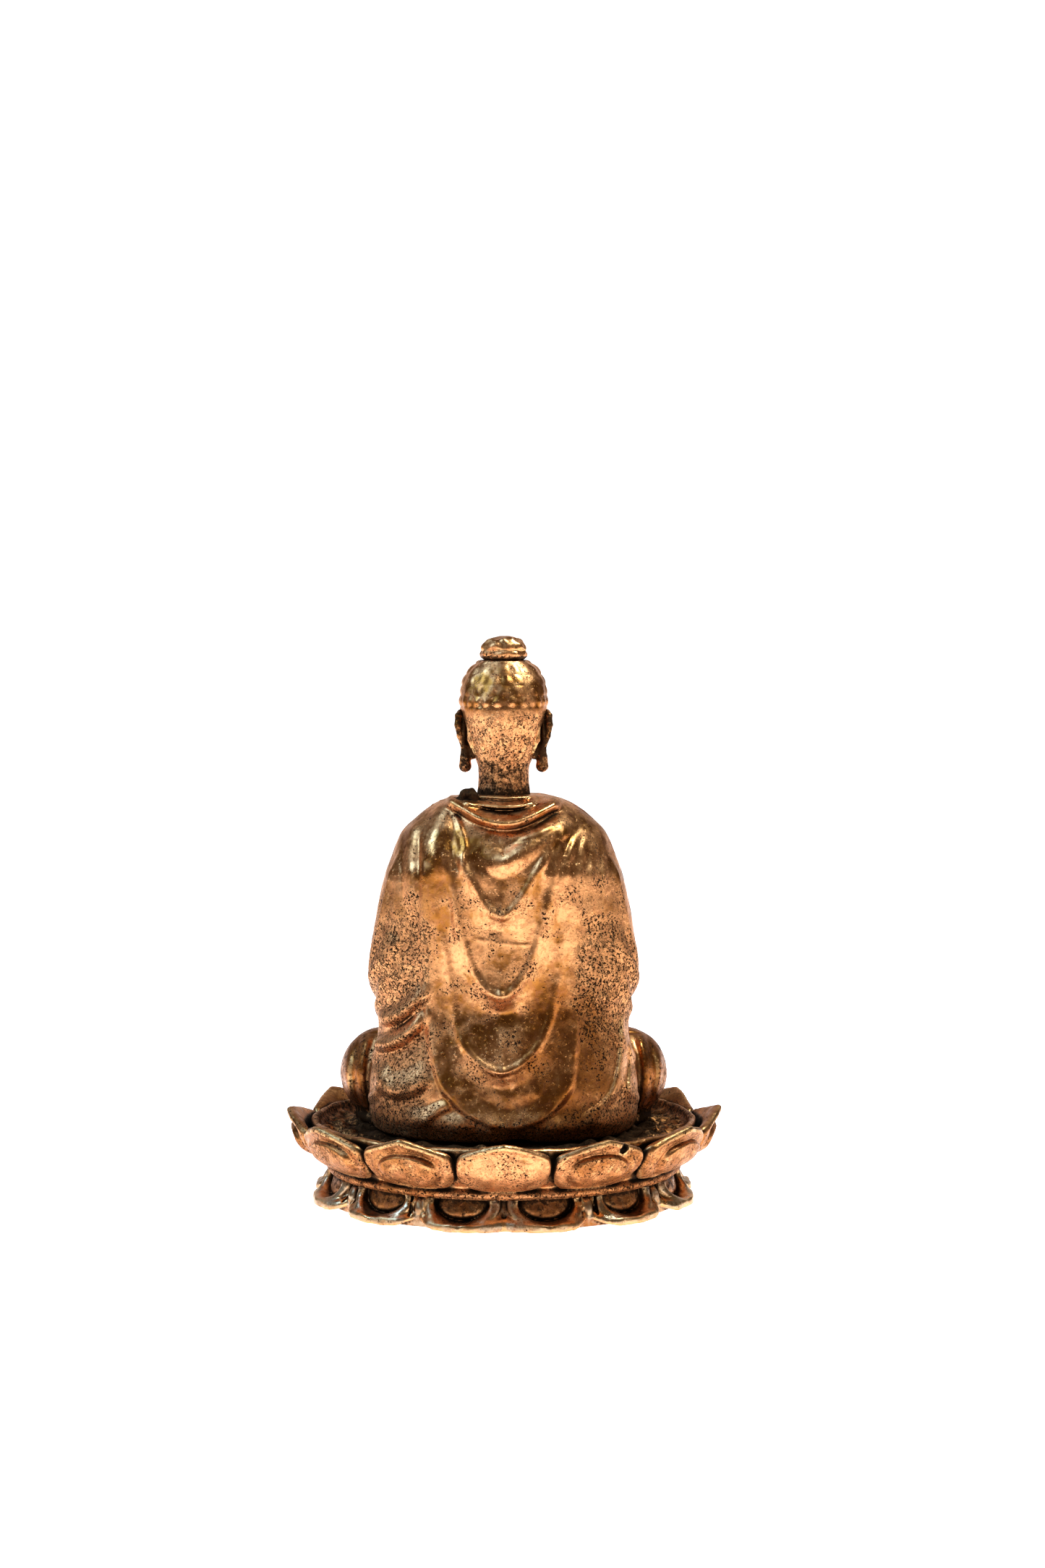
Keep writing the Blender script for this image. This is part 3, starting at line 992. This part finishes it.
def make_head(voxel):
    p = lattice((-9, -11.5, 66.8), (9, 9.5, KNOT_Z + 0.8), voxel)
    x, y, z = p
    q = (np.abs(x), y, z)
    field = lofted(p, SKULL)
    brow = ellipsoid(p, (0, -5.2, 87.0), (6.0, 3.3, 1.5))
    field = blend_min(field, brow, 1.2)
    socket = ellipsoid(q, (2.7, -9.0, 85.3), (2.3, 1.05, 1.2))
    field = blend_max(field, -socket, 1.1)
    eyelid = ellipsoid(q, (2.7, -7.0, 84.95), (1.9, 0.95, 0.85))
    field = blend_min(field, eyelid, 0.45)
    arch = [(0.9, -8.3, 86.5, 0.22), (2.4, -8.1, 87.15, 0.24), (4.2, -7.3, 87.0, 0.2),
            (5.4, -6.2, 86.3, 0.14)]
    field = blend_min(field, chain(q, arch, 0.2), 0.4)
    nose = [(0, -8.1, 86.6, 0.5), (0, -8.65, 84.6, 0.62), (0, -9.15, 82.9, 0.85)]
    field = blend_min(field, chain(p, nose, 0.4), 0.8)
    field = blend_min(field, ball(q, (0.85, -8.6, 82.6), 0.55), 0.35)
    field = blend_min(field, ellipsoid(q, (3.2, -6.1, 82.2), (2.6, 2.0, 2.2)), 1.4)
    field = blend_min(field, ellipsoid(p, (0, -7.0, 80.7), (2.7, 1.6, 1.7)), 1.2)
    upper = [(0, -8.45, 81.1, 0.4), (0.9, -8.4, 81.22, 0.42), (2.1, -7.75, 80.9, 0.18)]
    lower = [(0, -8.45, 80.25, 0.5), (0.9, -8.3, 80.32, 0.44), (2.0, -7.75, 80.7, 0.18)]
    field = blend_min(blend_min(field, chain(q, upper, 0.2), 0.25), chain(q, lower, 0.2), 0.25)
    parting = chain(q, [(0, -8.9, 80.7, 0.13), (1.1, -8.7, 80.76, 0.13), (2.3, -7.9, 80.9, 0.12)], 0.1)
    field = blend_max(field, -parting, 0.15)
    field = blend_min(field, ellipsoid(p, (0, -6.3, 78.5), (1.9, 1.7, 1.3)), 1.1)
    lids = [(1.05, -8.1, 84.7, 0.1), (2.0, -8.15, 84.38, 0.15), (3.2, -7.95, 84.36, 0.15),
            (4.5, -7.0, 84.75, 0.1)]
    slit = chain(q, lids, 0.1)
    field = blend_max(field, -slit, 0.15)
    field = field - curl_relief(p)
    strap = [(4.3, 4.75, 83.2, 0.3), (4.0, 4.75, 81.4, 0.62), (3.5, 4.55, 79.6, 0.3)]
    edge = [(6.3, 2.6, 84.6, 0.3), (5.9, 2.5, 81.6, 0.5), (5.1, 2.2, 79.2, 0.3)]
    for strip in (strap, edge):
        field = blend_min(field, chain(q, strip, 0.3), 0.12)
    for ring_z in (74.3, 75.5):
        crease = np.sqrt((np.sqrt(x * x + y * y) - NECK_R) ** 2 + (z - ring_z + 0.05 * y) ** 2) - 0.16
        field = blend_max(field, -np.maximum(crease, y), 0.3)
    field = blend_max(field, z - (KNOT_Z + 0.1), 0.4)
    cast = Cast(p, field)
    px, py, pz = cast.points.T
    behind = smoothstep(-3, 2, py)
    relief = (0.01 + 0.02 * smoothstep(87, 85, pz)) * waves((px, py, pz), 0.8, 51)
    relief = relief + 0.03 * waves((px, py, pz), 2.6, 52)
    cast.points = cast.points + cast.normals * (behind * relief)[:, None]
    matte = behind * (0.6 * smoothstep(87.6, 86.2, pz) + 0.3 * smoothstep(79, 75, pz))
    soot = 0.48 * smoothstep(79.8, 77, pz) + 0.3 * smoothstep(73.4, 71.8, pz)
    soot = soot * (0.45 + 0.55 * behind) + 0.4 * smoothstep(94.6, KNOT_Z, pz)
    soot = soot + 0.25 * smoothstep(4.6, 6.4, np.abs(px)) * behind * smoothstep(86.6, 85.6, pz)
    soot = soot + 0.8 * smoothstep(0.3, 0.05, cast.on_skin(np.minimum(slit, parting)))
    bm = bmesh_of(cast, matte, soot, 0.12 + 0.16 * smoothstep(86.5, 88.5, pz))
    return finish_mesh("head_casting", bm, CAST_HEAD, "head")


def make_ear(side, name, node, voxel):
    """A long ear that stands off the head, with a rolled rim and a heavy hanging lobe."""
    p = lattice((4.5, -3, 74.6), (9.4, 3.4, 88), voxel)
    x, y, z = p
    rim = [(7.5, -0.9, 86.1, 0.42), (7.7, 0.2, 86.3, 0.55), (8.0, 1.4, 85.8, 0.62),
           (8.1, 1.8, 84.2, 0.6), (7.75, 1.5, 82.2, 0.55), (7.1, 0.9, 80.4, 0.52), (6.9, 0.3, 79.0, 0.6)]
    field = chain(p, rim, 0.25)
    plate = ellipsoid(p, (7.1, 0.3, 83.6), (0.45, 1.7, 3.3))
    field = blend_min(field, plate, 0.25)
    inner_rim = [(7.8, -0.5, 85.2, 0.26), (8.05, 0.5, 85.4, 0.28), (8.1, 0.8, 83.6, 0.28),
                 (7.7, 0.1, 82.2, 0.26)]
    field = blend_min(field, chain(p, inner_rim, 0.2), 0.2)
    lobe = chain(p, [(6.8, 0.3, 79.4, 0.7), (6.85, 0.1, 78.2, 0.88), (6.85, 0, 76.85, 1.14)], 0.4)
    field = blend_min(field, lobe, 0.5)
    root = [(6.6, -0.2, 85.6, 0.7), (6.2, -0.1, 82.4, 0.75), (5.9, 0, 80.0, 0.8), (5.4, 0, 78.6, 0.6)]
    field = blend_min(field, chain(p, root, 0.3), 0.5)
    cast = Cast(p, field)
    cast.roughen(0.02, 0.6, 61 + side)
    px, py, pz = cast.points.T
    cleft = 0.35 * smoothstep(8.1, 6.6, px) * smoothstep(-1, 0.5, py) * smoothstep(78, 79.5, pz)
    bm = bmesh_of(cast, 0.2, cleft + 0.28 + 0.32 * smoothstep(-0.1, 0.6, cast.normals[:, 1]))
    if side < 0:
        mirror(bm)
    return finish_mesh(name, bm, CAST_HEAD, node)


def make_topknot(voxel):
    """Two flattened tiers of curls."""
    p = lattice((-4.6, -4.6, KNOT_Z - 0.4), (4.6, 4.6, CROWN_Z + 0.2), voxel)
    x, y, z = p
    r = np.sqrt(x * x + y * y)
    lower = np.hypot(np.maximum(r - 3.25, 0), np.maximum(np.abs(z - KNOT_Z - 1.05) - 0.05, 0)) - 0.72
    upper = ellipsoid(p, (0, 0, KNOT_Z + 1.95), (3.85, 3.85, 2.4))
    upper = blend_max(upper, KNOT_Z + 1.6 - z, 0.7)
    field = blend_min(lower, upper, 0.12)
    angle = np.arctan2(y, x)
    curls = np.cos(9 * angle + 1.4 * np.sin(2 * angle + 1)) * np.cos(2.1 * (z - KNOT_Z - 1.05))
    field = field - smoothstep(1.2, 3.0, r) * (0.13 * curls + 0.1) - 0.1 * waves((x, y, z), 1.5, 70)
    neck = np.maximum(r - 3.2, np.abs(z - KNOT_Z) - 0.5)
    field = blend_min(field, neck, 0.15)
    field = np.maximum(field, KNOT_Z - 0.3 - z)
    field = blend_max(field, z - CROWN_Z, 0.3)
    cast = Cast(p, field)
    cast.roughen(0.03, 0.8, 71)
    bm = bmesh_of(cast, 0.2, 0.7 * smoothstep(KNOT_Z + 1.3, KNOT_Z + 0.2, cast.points[:, 2]) + 0.16, 0.4)
    return finish_mesh("topknot_curls", bm, CAST_HEAD, "topknot")


# ---------------------------------------------------------------- lotus pedestal


def petals(p, first=0.0):
    """Distance from the axis, place across the petal from -1 to 1, its half width, and which petal it is.

    The petals at the back and the front are a little narrower than the ones at the sides.
    """
    x, y, _ = p
    r = np.sqrt(x * x + y * y)
    turn = np.arctan2(y, x)
    even = turn - 0.063 * np.sin(2 * turn) - first
    number = np.round(even / PITCH)
    half = 0.5 * PITCH * r / (1 - 0.126 * np.cos(2 * turn))
    return r, (even / PITCH - number) * 2, half, np.mod(number, PETALS).astype(int)


def by_petal(number, seed, spread):
    """A small random offset for each petal, spread over the lattice."""
    values = np.random.default_rng(seed).uniform(-spread, spread, PETALS).astype(np.float32)
    return values[number]


def make_dish(voxel):
    p = lattice((-TIP_R - 0.6, -TIP_R - 0.6, WAIST_Z - 0.8), (TIP_R + 0.6, TIP_R + 0.6, TIP_Z + 1.2), voxel)
    x, y, z = p
    r, place, half, number = petals(p)
    across = place * half

    wall_z = (4.6, 5.0, 5.7, 6.4, 6.9, 8.2, 10.2, 12.2, 13.4, 14.6)
    wall_r = (30.9, 31.3, 31.8, 31.5, 31.1, 32.2, 33.5, 34.2, 34.3, 34.4)
    wall = through(wall_z, wall_r, z)
    top = through((0, 30.2, 31.8, 32.8, 33.6, 36.5), (SEAT_Z, SEAT_Z, SEAT_Z + 0.5, 12.9, 13.6, 13.7), r)
    seeds = smoothstep(18, 23, r) * smoothstep(33, 31, r)
    top = top + seeds * (0.6 * waves((x, y, 0 * x), 1.8, 81, 12) + 0.3)
    field = blend_max(r - wall, 0.75 * (z - top), 0.5)
    roll = np.sqrt((r - 33.7) ** 2 + (z - 13.5) ** 2) - 0.66 - 0.08 * waves((x, y, 0 * x), 4.0, 80, 8)
    field = blend_min(field, roll, 0.35)

    reach = np.abs(place) / 0.985
    tip = TIP_Z - 0.1 + by_petal(number, 83, 0.2)
    peak = tip - 2.7 * reach ** (1.15 + by_petal(number, 82, 0.15))
    foot = 6.5 + 1.5 * reach ** 3
    inset = blend_min(blend_min((1 - reach) * half, 0.95 * (peak - z), 1.6), z - foot, 2.6)
    lean_z = (5.0, 6.0, 7.4, 8.8, 10.4, 12.0, 13.6, 15.0, 16.6)
    lean_r = (30.5, 31.2, 32.7, 33.9, 34.9, 35.6, 36.4, 37.6, 39.2)
    mid = through(lean_z, lean_r, z)
    plain = np.where(number == 3, 0.12, 1.0)
    oval = np.sqrt(((across - 6 * by_petal(number, 84, 0.16)) / (0.62 * half)) ** 2 + ((z - 10.1) / 2.9) ** 2)
    cushion = 0.5 * plain * smoothstep(1.07, 0.85, oval)
    groove = 0.34 * plain * np.exp(-(((oval - 1.1) / 0.08) ** 2))
    puff = 0.5 + 1.05 * smoothstep(0.0, 3.2, inset) + cushion - groove
    lip = 0.5 * np.exp(-(((inset - 0.75) / 0.5) ** 2)) * smoothstep(8.5, 11, z)
    outward = (r - mid) * 0.88
    field = blend_min(field, blend_max(np.maximum(outward - puff - lip, -outward - 0.7), -inset, 0.7), 0.22)
    ripple = 0.05 * waves((x, y, z), 2.6, 86, 8)
    field = field + ripple
    hole = limb(p, (-20.6, 32.2, 13.9), (-19.2, 30.0, 13.7), 0.75, 0.6)
    field = blend_max(field, -hole, 0.2)
    cast = Cast(p, field)
    cast.roughen(0.018, 0.8, 87)
    px, py, pz = cast.points.T
    out = np.hypot(px, py)
    inside = smoothstep(34.2, 33.4, out) * smoothstep(7, 9, pz)
    pitting = 0.9 * smoothstep(7, 6, pz) + 0.5 * inside + 0.26 + 0.1 * smoothstep(6, 13, np.abs(px))
    soot = (0.3 + 0.4 * smoothstep(30, 25, out)) * inside + 0.14 * smoothstep(6, 13, np.abs(px))
    soot = soot + 1.5 * smoothstep(0.3, 0.0, cast.on_skin(hole))
    bm = bmesh_of(cast, pitting, soot, 0.55 * smoothstep(6, 13, np.abs(px)))
    rim = slice_off(bm, (0, 0, WAIST_Z), (0, 0, -1))
    step_r, hollow_r, roof_r, step_z = 26.85, 25.2, 24.6, WAIST_Z - 1.4
    hollow = [(step_r, WAIST_Z), (step_r, step_z), (hollow_r, step_z), (hollow_r, SEAT_Z - 2.6),
              (roof_r, SEAT_Z - 2)]
    rings = bore(bm, hollow)
    lid(bm, rim + rings[0][1], (0, 0, -1))
    bm.faces.new(reversed(rings[-1][0]))
    return finish_mesh("lotus_dish_casting", bm, CAST_LOTUS, "lotus_dish")


def make_foot(voxel):
    p = lattice((-FOOT_R - 1, -FOOT_R - 1, -0.6), (FOOT_R + 1, FOOT_R + 1, WAIST_Z + 0.6), voxel)
    x, y, z = p
    r, place, half, number = petals(p, PITCH / 2)
    _, joint, joint_half, joint_number = petals(p)
    across = place * half
    off = joint * joint_half
    notched = np.where(np.mod(joint_number, 6) == 3, 0.0, 1.0)
    slope = through((-1, 0.4, 1.5, 3, 4.4, 6), (32.7, 32.2, 31.7, 31.2, 30.7, 30.3), z)
    field = r - slope
    notch = notched * np.exp(-((off / 1.7) ** 2))
    skirt_r = 33.3 + by_petal(number, 90, 0.2) + 1.5 * (1 - np.abs(place) ** 1.5) - 1.5 * notch
    skirt = blend_max(0.9 * (r - skirt_r), z - 1.5 - 0.45 * np.clip(33.8 - r, 0, 3), 0.8)
    field = blend_min(field, skirt, 0.8)

    oval = np.sqrt((across / 4.7) ** 2 + ((z - 4.2) / 2.85) ** 2)
    low = smoothstep(4, 1, z)
    ridge = np.sqrt(((oval - 1.22) * 3.4) ** 2 + (0.9 * (r - slope - 0.2 - 0.9 * low)) ** 2) - 0.78
    field = blend_min(field, ridge, 0.4)
    hollow = blend_max((oval - 1.01) * 2.8, np.maximum(slope - 1.0 - r, r - slope - 3), 0.4)
    field = blend_max(field, -hollow, 0.3)
    jewel = np.sqrt(np.clip(1 - (oval / 0.99) ** 3.4, 0, 1))
    field = blend_min(field, np.maximum(r - (slope - 0.75 + 0.95 * jewel), (oval - 0.98) * 2.5), 0.12)
    bead = ellipsoid((off, r - slope, z - 3.4), (0, 0.1, 0), (1.1, 0.75, 1.5))
    field = blend_min(field, np.where(notched > 0, bead, field + 1), 0.15)
    crevice = np.maximum(np.abs(np.abs(off) - 1.5) - 0.12, slope - 0.6 - r)
    field = blend_max(field, -np.where(notched > 0, np.maximum(crevice, 1.6 - z), 1), 0.2)
    groove = np.sqrt(off ** 2 + (1.1 * (r - slope - 0.25)) ** 2) - 0.3
    field = blend_max(field, -np.where(notched > 0, 1, groove), 0.35)
    arch = notched * np.exp(-((off / 2.6) ** 2))
    field = np.maximum(field, np.where(r > 31.9, 1.2 * arch - z, -1))
    field = field + 0.05 * waves((x, y, z), 1.9, 92, 8)
    cast = Cast(p, field)
    cast.roughen(0.02, 0.8, 93)
    px, py, pz = cast.points.T
    jewelled = smoothstep(1.05, 0.95, cast.on_skin(oval))
    dark = 0.1 + 0.12 * smoothstep(2.4, 3.6, pz) + 0.3 * smoothstep(4.1, 4.7, pz) + 0.2 * jewelled
    bm = bmesh_of(cast, 0.1, dark, 0.75 * jewelled)
    under = slice_off(bm, (0, 0, 0), (0, 0, -1))
    above = slice_off(bm, (0, 0, WAIST_Z), (0, 0, 1))
    bore_r, rebate_r, plate_z = 26.9, 28.25, plate_high[2]
    rings = bore(bm, [(bore_r, WAIST_Z), (bore_r, plate_z), (rebate_r, plate_z), (rebate_r, 0.0)])
    lid(bm, above + rings[0][1], (0, 0, 1))
    lid(bm, under + rings[-1][1], (0, 0, -1))
    return finish_mesh("lotus_foot_casting", bm, CAST_FOOT, "lotus_foot")


# ---------------------------------------------------------------- scene

make_robe_back(0.24 * FINE)
make_robe_front(0.26 * FINE)
make_legs(0.3 * FINE)
make_hand(1, LAP_Z + 1.4, "left_hand", "hand_left", 0.17 * FINE)
make_hand(-1, LAP_Z + 3.2, "right_hand", "hand_right", 0.17 * FINE)
make_head(0.15 * FINE)
make_ear(1, "left_ear", "ear_left", 0.12 * FINE)
make_ear(-1, "right_ear", "ear_right", 0.12 * FINE)
make_topknot(0.13 * FINE)
make_dish(0.32 * FINE)
make_foot(0.26 * FINE)

FINISHES = {"base_plate": SHEET}
FINISHES.update(dict.fromkeys(("plate_screws", "tie_stud", "tie_washer", "tie_nut"), STEEL))
PINS = ("tier_pins", "seat_dowels", "shell_pins", "leg_pins", "lap_pins", "neck_pin")
FINISHES.update(dict.fromkeys(PINS, WIRE))
for node_name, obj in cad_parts.items():
    obj.data.materials.clear()
    obj.data.materials.append(FINISHES.get(node_name, CAST))


FLOOR_WIDTH = 0.9
PAPER = (1, 1, 1, 1)
PAPER_STRENGTH = 1.05
DARK_ROOM = (0.135, 0.118, 0.088, 1)
WHITE_TABLE = (1.36, 1.33, 1.3, 1)
STRAIGHT_BEHIND = 0.4
CAMERA_PLACE = (0, 0.5, 0.1004)
CAMERA_TIP = 3.07
LENS = 64.5
LENS_SHIFT = 0.012
EXPOSURE = 0.27
GAMMA = 0.84


def aim(obj, target):
    obj.rotation_euler = (Vector(target) - obj.location).to_track_quat("-Z", "Y").to_euler()


def make_floor():
    bm = bmesh.new()
    bmesh.ops.create_grid(bm, x_segments=2, y_segments=2, size=FLOOR_WIDTH / 2)
    mesh = bpy.data.meshes.new("floor")
    bm.to_mesh(mesh)
    bm.free()
    floor = bpy.data.objects.new("floor", mesh)
    bpy.context.scene.collection.objects.link(floor)
    floor.location = (0, 0, cad_low[2])
    n = Nodes(bpy.data.materials.new("white_paper"))
    tone = n.mix(n.noise(40.0, 2.0), (0.93, 0.93, 0.94, 1), (0.95, 0.95, 0.96, 1))
    mesh.materials.append(n.surface(tone, 0.9, 0.0, n.bump(n.noise(1.0), 0.01), glow=1.0))


def make_area(name, place, target, size, power, color):
    light = bpy.data.lights.new(name, "AREA")
    light.shape = "RECTANGLE"
    light.size, light.size_y = size
    light.energy = power
    light.color = color
    obj = bpy.data.objects.new(name, light)
    bpy.context.scene.collection.objects.link(obj)
    obj.location = place
    aim(obj, target)


def make_world():
    """White paper to the camera. The metal mirrors white below the horizon, and a darker room above it."""
    world = bpy.data.worlds.new("studio")
    bpy.context.scene.world = world
    n = Nodes(world)
    axes = n.add("ShaderNodeSeparateXYZ")
    n.feed(axes.inputs[0], n.place["Generated"])
    under = n.ramp(axes.outputs["Z"], 0.02, -0.06)
    behind = n.ramp(axes.outputs["Y"], -0.66, -0.9)
    white = n.math("MULTIPLY_ADD", behind, STRAIGHT_BEHIND, under, clamp=True)
    room = n.add("ShaderNodeBackground")
    n.feed(room.inputs[0], n.mix(white, DARK_ROOM, WHITE_TABLE))
    paper = n.add("ShaderNodeBackground")
    n.feed(paper.inputs[0], PAPER)
    n.feed(paper.inputs[1], PAPER_STRENGTH)
    seen = n.add("ShaderNodeLightPath").outputs["Is Camera Ray"]
    mix = n.add("ShaderNodeMixShader")
    for socket, value in zip(mix.inputs, (seen, room.outputs[0], paper.outputs[0])):
        n.feed(socket, value)
    n.feed(n.add("ShaderNodeOutputWorld").inputs[0], mix.outputs[0])


def make_camera():
    """Half a metre behind the statue, level with its crown and tipped down by three degrees."""
    data = bpy.data.cameras.new("camera")
    data.sensor_width = 36
    data.lens = LENS
    data.shift_x = LENS_SHIFT
    camera = bpy.data.objects.new("camera", data)
    bpy.context.scene.collection.objects.link(camera)
    camera.location = CAMERA_PLACE
    camera.rotation_euler = (math.radians(90 - CAMERA_TIP), 0, math.radians(180))
    bpy.context.scene.camera = camera


make_floor()
make_world()
make_camera()
make_area(
    "softbox_top", place=(-0.24, 0.03, 0.6), target=(0, 0, 0.07),
    size=(0.24, 0.2), power=2.4, color=(0.64, 0.87, 1),
)
make_area(
    "softbox_left", place=(0.36, 0.1, 0.46), target=(0, 0, 0.06),
    size=(0.34, 0.42), power=2.2, color=(0.32, 0.62, 1),
)
view = bpy.context.scene.view_settings
view.view_transform = "Standard"
view.exposure = EXPOSURE
view.gamma = GAMMA
